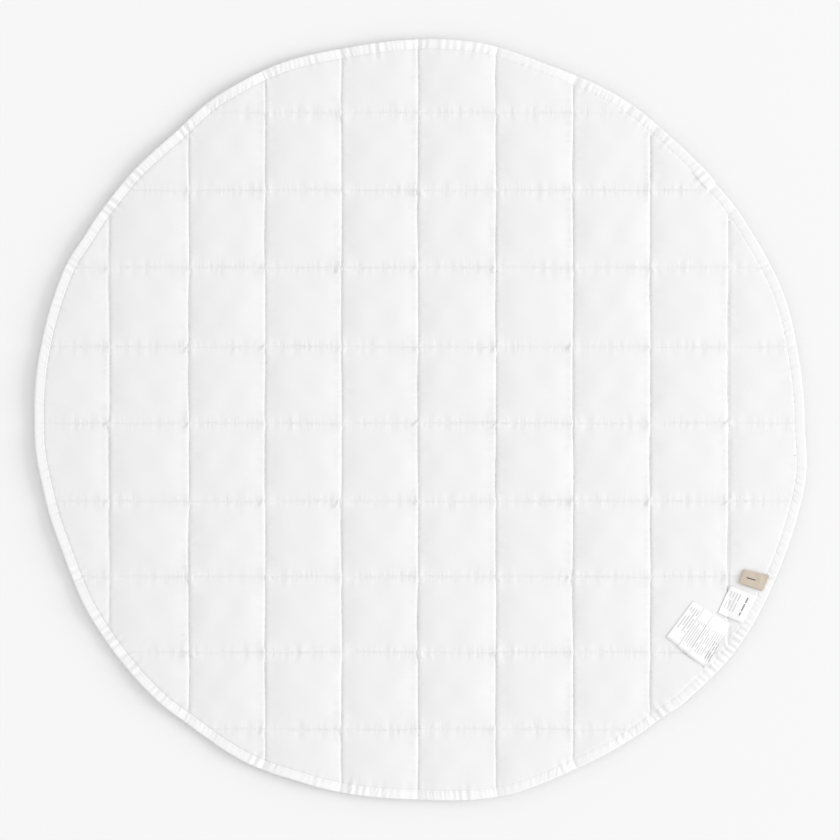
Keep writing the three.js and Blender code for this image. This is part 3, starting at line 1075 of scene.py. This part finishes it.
class PLAYMAT_OT_fold_tab(bpy.types.Operator):
    """Tan tape folded double into a short tab"""

    bl_idname = "play_mat.fold_tab"
    bl_label = "Folded tab"

    def execute(self, context):
        colours = context.scene.play_mat_colours
        bm = bmesh.new()
        uv_layer = bm.loops.layers.uv.new("label")
        verts = bmesh.ops.create_grid(bm, x_segments=80, y_segments=12, size=1)["verts"]
        points = read_points(verts)
        path = (points[:, 0] + 1) / 2
        across = (1 - points[:, 1]) / 2
        fold = smooth_part(path, 0.46, 0.54)
        part = np.clip(np.abs(path - 0.5) * 2, 0.02, 1)
        part = part - 0.02 * np.sqrt(np.maximum(0, 1 - ((path - 0.5) / 0.04) ** 2))
        loop_height = 1.5 * fold * (1 - 0.4 * smooth_part(part, 0.75, 1))
        lift = 0.5 + 0.5 * (1 - part) + 0.3 * across
        points[:, :2] = label_points("fold_tab", part, across) * MM
        points[:, 2] = laid_height("fold_tab", part, across, lift, 0.9, 0) + MM * loop_height
        write_points(verts, points)
        set_uv(verts, uv_layer, across * TAB_WIDTH * MM, path * TAB_RUN * MM)
        tab = finish_label(bm, "fold_tab_tape", self.tape_material(colours), 0.7 * MM)
        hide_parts("fold_tab")
        return {"FINISHED"}

    def tape_material(self, colours):
        """Tan twill tape with a small plain bar."""
        material, tree, shader = new_material("tan_tape", colours.tan, 0.85)
        shader.inputs["Sheen Weight"].default_value = 0.3
        place, across, along = label_places(tree)
        bar = node_within(tree, across, along, TAB_BAR)
        ribs = node_wave(tree, place, threads_to_scale(1.3 * MM), "DIAGONAL")
        tint = node_mix(tree, [channel * 0.9 for channel in colours.tan], colours.tan, ribs)
        tree.links.new(node_mix(tree, tint, TAB_INK, bar), shader.inputs["Base Color"])
        add_bump(tree, shader, ribs, 0.4, 0.2 * MM)
        return material


# Floor, softbox and camera in metres: the softbox stands far out on the right and low over the floor
FLOOR_REACH = 6
SOFTBOX_SIZE = 15.9
SOFTBOX_OUT = 27.4
SOFTBOX_UP = 12.1
CAMERA_X = -0.4 * MM
CAMERA_Y = -0.3 * MM


class PLAYMAT_OT_stage(bpy.types.Operator):
    """Pale floor, soft light from the right and a camera straight above"""

    bl_idname = "play_mat.stage"
    bl_label = "Floor, light and camera"

    def execute(self, context):
        settings = context.scene.play_mat_stage
        bm = bmesh.new()
        bmesh.ops.create_grid(bm, x_segments=4, y_segments=4, size=FLOOR_REACH)
        floor = add_mesh_object(bm, "floor", new_material("floor_paint", settings.floor, 0.9)[0])
        floor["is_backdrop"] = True
        self.light(context, settings)
        camera = add_object("camera", bpy.data.cameras.new("camera"))
        camera.data.lens = settings.lens
        distance = settings.view_width * settings.lens / camera.data.sensor_width
        camera.location = (CAMERA_X, CAMERA_Y, distance)
        context.scene.camera = camera
        context.scene.view_settings.view_transform = "Standard"
        return {"FINISHED"}

    def light(self, context, settings):
        """An even sky and a low, far softbox on the right."""
        light = bpy.data.lights.new("softbox", "AREA")
        light.energy = settings.side
        light.size = SOFTBOX_SIZE
        softbox = add_object("softbox", light)
        softbox.location = (SOFTBOX_OUT, 0, SOFTBOX_UP)
        softbox.rotation_euler = (0, math.atan2(SOFTBOX_OUT, SOFTBOX_UP), 0)
        world = bpy.data.worlds.new("sky")
        world.use_nodes = True
        background = world.node_tree.nodes["Background"]
        background.inputs["Color"].default_value = (1, 1, 1, 1)
        background.inputs["Strength"].default_value = settings.sky
        context.scene.world = world


class PLAYMAT_PT_panel(bpy.types.Panel):
    """Lists the pieces of the play mat"""

    bl_idname = "PLAYMAT_PT_panel"
    bl_label = "Play mat"
    bl_space_type = "VIEW_3D"
    bl_region_type = "UI"
    bl_category = "Play Mat"

    def draw(self, context):
        for kind in PIECES:
            self.layout.operator(kind.bl_idname)
        for group_name in GROUPS:
            group = getattr(context.scene, group_name)
            box = self.layout.box()
            for key in group.bl_rna.properties.keys():
                if key not in {"rna_type", "name"}:
                    box.prop(group, key)


PIECES = (
    PLAYMAT_OT_pad, PLAYMAT_OT_binding, PLAYMAT_OT_stitches, PLAYMAT_OT_care_label,
    PLAYMAT_OT_size_label, PLAYMAT_OT_fold_tab, PLAYMAT_OT_stage,
)
GROUPS = {
    "play_mat_pad": PadSizes,
    "play_mat_binding": BindingSizes,
    "play_mat_thread": ThreadSizes,
    "play_mat_colours": MatColours,
    "play_mat_stage": StageSettings,
}


def register():
    for kind in (*GROUPS.values(), *PIECES, PLAYMAT_PT_panel):
        bpy.utils.register_class(kind)
    for name, kind in GROUPS.items():
        setattr(bpy.types.Scene, name, PointerProperty(type=kind))


def unregister():
    for name in GROUPS:
        delattr(bpy.types.Scene, name)
    for kind in (PLAYMAT_PT_panel, *reversed(PIECES), *reversed(list(GROUPS.values()))):
        bpy.utils.unregister_class(kind)


def main():
    register()
    bpy.ops.play_mat.pad()
    bpy.ops.play_mat.binding()
    bpy.ops.play_mat.stitches()
    bpy.ops.play_mat.care_label()
    bpy.ops.play_mat.size_label()
    bpy.ops.play_mat.fold_tab()
    bpy.ops.play_mat.stage()
    boxes = {"cad": CAD_BOX, "visual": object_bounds()}
    {name: [list(corner) for corner in box] for name, box in boxes.items()}


if __name__ == "__main__":
    main()
